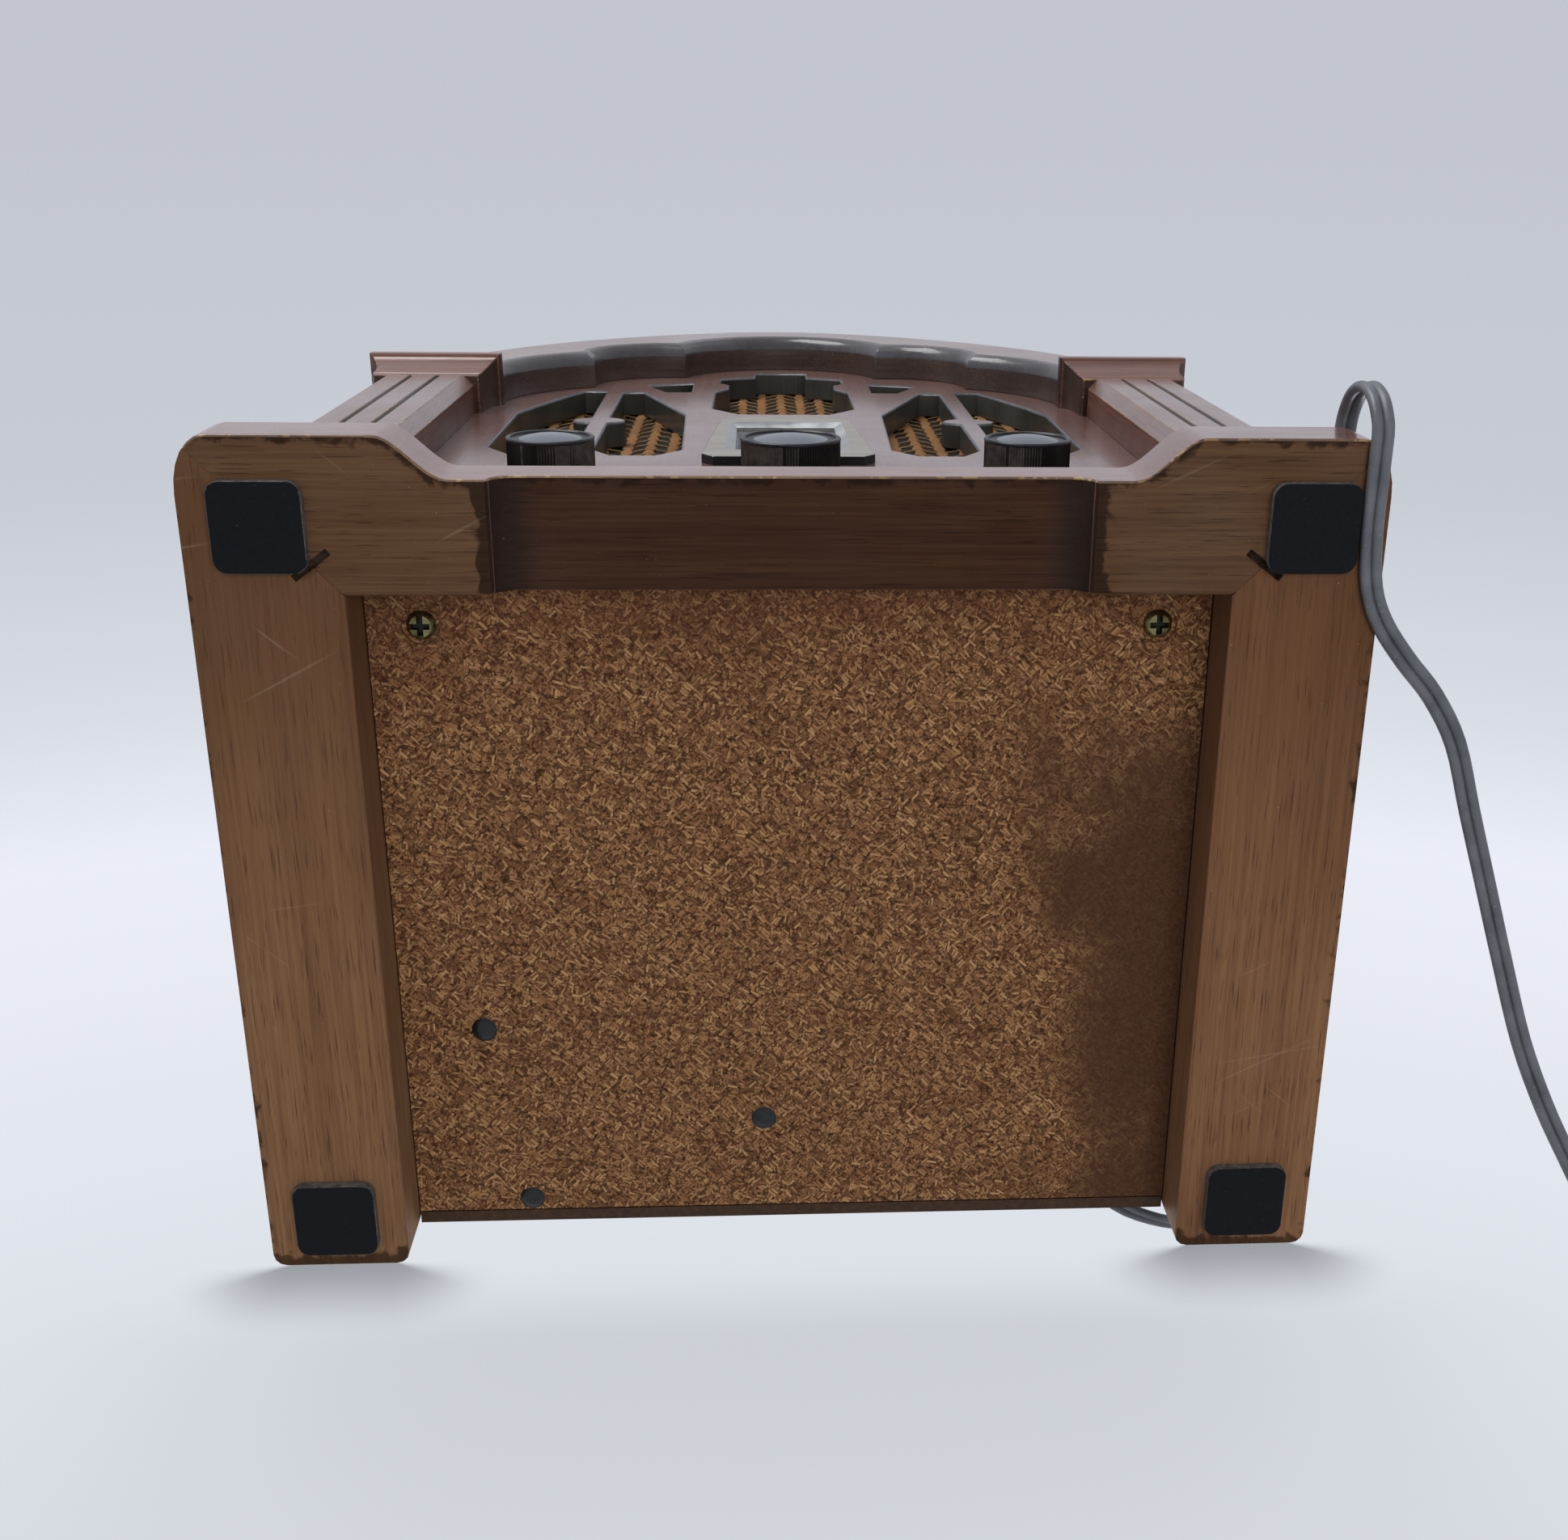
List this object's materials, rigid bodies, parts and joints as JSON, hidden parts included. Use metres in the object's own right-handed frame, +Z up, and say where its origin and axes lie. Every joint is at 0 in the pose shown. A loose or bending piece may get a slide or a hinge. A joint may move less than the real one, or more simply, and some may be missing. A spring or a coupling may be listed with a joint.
{
  "type": "radio receiver",
  "caption": "Arched wooden table radio with fluted columns, scalloped arch moulding, fretwork grille over cloth, dial, three knobs, framed base on pads and a mains lead.",
  "frame": {"origin": "centre of the cabinet's footprint on the floor, under the foot pads", "axes": "+Z up, front face towards -Y, +X to the right seen from the front"},
  "size_m": [0.41, 0.2577, 0.3021],
  "materials": {
    "base_wood": "worn satin lacquer, brown stained hardwood",
    "pad_rubber": "matt black foam rubber",
    "particle_board": "raw pressed wood flakes, matt",
    "brass_screw": "yellow passivated",
    "black_rivet": "black",
    "plain_wood": "raw softwood",
    "column_wood": "hazy satin lacquer over stained wood",
    "cabinet_wood": "reddish brown satin lacquer",
    "grille_cloth": "woven cord grille cloth",
    "hardboard": "dark pressed board, matt",
    "dial_metal": "satin grey green",
    "window_clear": "clear",
    "dial_card": "printed card",
    "pointer_red": "gloss",
    "drive_plastic": "cream",
    "drive_thread": "waxed thread",
    "knob_black": "satin black",
    "knob_cap": "polished blue grey",
    "shaft_steel": "turned",
    "bushing_brass": "turned",
    "control_metal": "pressed",
    "switch_board": "laminate",
    "capacitor_plastic": "moulded",
    "chassis_steel": "zinc plated",
    "circuit_laminate": "laminate",
    "component": "moulded",
    "ferrite": "dark ferrite",
    "core_steel": "varnished laminations",
    "coil_copper": "varnished copper winding",
    "speaker_steel": "plated",
    "cone_paper": "black pulp",
    "magnet": "dark",
    "plug_black": "moulded black",
    "lead_sheath": "grey flexible sheath"
  },
  "bodies": {
    "cabinet": {"base_front_board": "base_wood", "base_rail_left": "base_wood", "base_rail_right": "base_wood", "foot_pads": "pad_rubber", "bottom_board": "particle_board", "bottom_screws": "brass_screw", "bottom_rivets": "black_rivet", "glue_blocks": "plain_wood", "column_left": "column_wood", "column_right": "column_wood", "capital_left": "cabinet_wood", "capital_right": "cabinet_wood", "arch_frame": "column_wood", "fret_panel": "cabinet_wood", "cabinet_shell": "cabinet_wood", "grille_cloth": "grille_cloth", "baffle_board": "hardboard", "dial_escutcheon": "dial_metal", "dial_window": "window_clear", "dial_scale": "dial_card", "dial_cord": "drive_thread", "tuning_bushing": "bushing_brass", "volume_control": "control_metal", "band_switch": "switch_board", "tuning_capacitor": "capacitor_plastic", "capacitor_bracket": "chassis_steel", "chassis": "chassis_steel", "circuit_board": "circuit_laminate", "board_parts": "component", "board_standoffs": "bushing_brass", "ferrite_rod": "ferrite", "rod_holders": "drive_plastic", "transformer_core": "core_steel", "transformer_coil": "coil_copper", "speaker_basket": "speaker_steel", "speaker_cone": "cone_paper", "speaker_magnet": "magnet", "speaker_screws": "brass_screw", "back_cover": "hardboard", "back_screws": "brass_screw", "strain_relief": "plug_black", "lead_run": "lead_sheath", "lead_coil": "lead_sheath", "power_plug": "plug_black", "plug_blades": "brass_screw"},
    "tuning_control": {"tuning_knob": "knob_black", "tuning_knob_cap": "knob_cap", "tuning_spindle": "shaft_steel"},
    "dial_drive": {"dial_pulley": "drive_plastic", "dial_pointer": "pointer_red"},
    "volume_turn": {"volume_knob": "knob_black", "volume_knob_cap": "knob_cap", "volume_shaft": "shaft_steel"},
    "band_turn": {"band_knob": "knob_black", "band_knob_cap": "knob_cap", "band_shaft": "shaft_steel"}
  },
  "joints": [
    {"name": "dial_turn", "type": "hinge", "parent": "cabinet", "child": "dial_drive", "pos_m": [0, -0.072, 0.108], "axis": [0, 1, 0], "range_deg": [-90, 90]},
    {"name": "tuning_turn", "type": "hinge", "parent": "cabinet", "child": "tuning_control", "pos_m": [0, -0.072, 0.0525], "axis": [0, 1, 0], "range_deg": [-270, 270]},
    {"name": "volume_turn_joint", "type": "hinge", "parent": "cabinet", "child": "volume_turn", "pos_m": [-0.055, -0.072, 0.0525], "axis": [0, 1, 0], "range_deg": [0, 300]},
    {"name": "band_turn_joint", "type": "hinge", "parent": "cabinet", "child": "band_turn", "pos_m": [0.055, -0.072, 0.0525], "axis": [0, 1, 0], "range_deg": [0, 60]}
  ],
  "couplings": [
    {"joint": "tuning_turn", "follows": "dial_turn", "ratio": 3}
  ]
}
